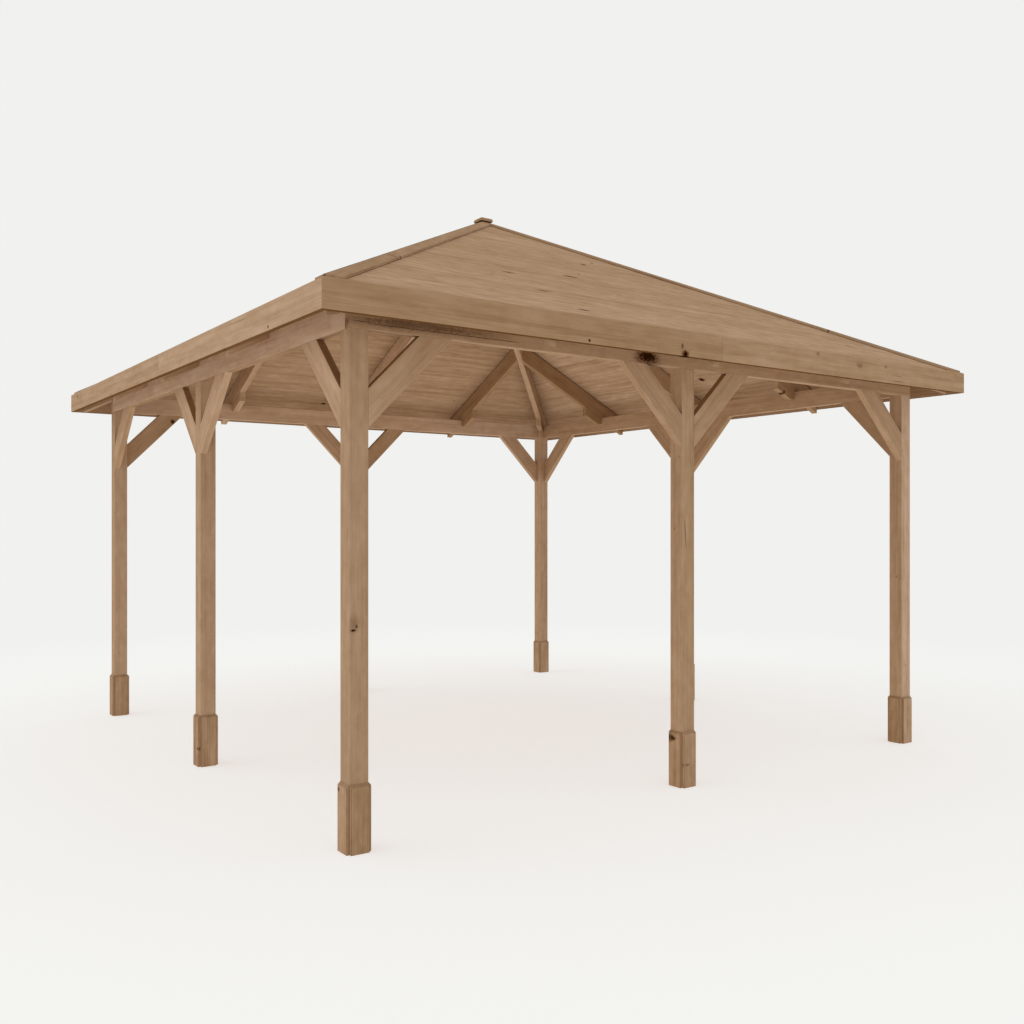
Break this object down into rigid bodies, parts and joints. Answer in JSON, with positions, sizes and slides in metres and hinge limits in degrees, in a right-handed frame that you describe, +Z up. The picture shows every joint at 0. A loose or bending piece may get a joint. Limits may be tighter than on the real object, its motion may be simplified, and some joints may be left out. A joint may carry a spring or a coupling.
{
  "type": "garden gazebo",
  "caption": "Open square timber garden gazebo: posts with foot boards, knee-braced ring beams and a boarded pyramid roof with fascias, hip boards and an apex cap.",
  "frame": {"origin": "on the ground at the centre of the square plan", "axes": "+Z up; +X and +Y along the sides, with the front side facing -Y and the left side facing -X"},
  "size_m": [4.468, 4.468, 3.5404],
  "materials": {
    "frame_timber": "stained softwood, matt",
    "roof_boards": "stained softwood, matt",
    "trim_boards": "stained softwood, matt"
  },
  "bodies": {
    "root": {"apex_cap": "trim_boards", "back_beam": "frame_timber", "back_braces": "frame_timber", "back_fascia": "trim_boards", "back_left_foot_boards": "trim_boards", "back_left_hip_boards": "trim_boards", "back_left_hip_rafter": "frame_timber", "back_left_post": "frame_timber", "back_middle_foot_boards": "trim_boards", "back_middle_post": "frame_timber", "back_rafters": "frame_timber", "back_right_foot_boards": "trim_boards", "back_right_hip_boards": "trim_boards", "back_right_hip_rafter": "frame_timber", "back_right_post": "frame_timber", "back_roof_slope": "roof_boards", "front_beam": "frame_timber", "front_braces": "frame_timber", "front_fascia": "trim_boards", "front_left_foot_boards": "trim_boards", "front_left_hip_boards": "trim_boards", "front_left_hip_rafter": "frame_timber", "front_left_post": "frame_timber", "front_middle_foot_boards": "trim_boards", "front_middle_post": "frame_timber", "front_rafters": "frame_timber", "front_right_foot_boards": "trim_boards", "front_right_hip_boards": "trim_boards", "front_right_hip_rafter": "frame_timber", "front_right_post": "frame_timber", "front_roof_slope": "roof_boards", "left_beam": "frame_timber", "left_braces": "frame_timber", "left_fascia": "trim_boards", "left_middle_foot_boards": "trim_boards", "left_middle_post": "frame_timber", "left_rafters": "frame_timber", "left_roof_slope": "roof_boards", "right_beam": "frame_timber", "right_braces": "frame_timber", "right_fascia": "trim_boards", "right_middle_foot_boards": "trim_boards", "right_middle_post": "frame_timber", "right_rafters": "frame_timber", "right_roof_slope": "roof_boards"}
  },
  "joints": []
}
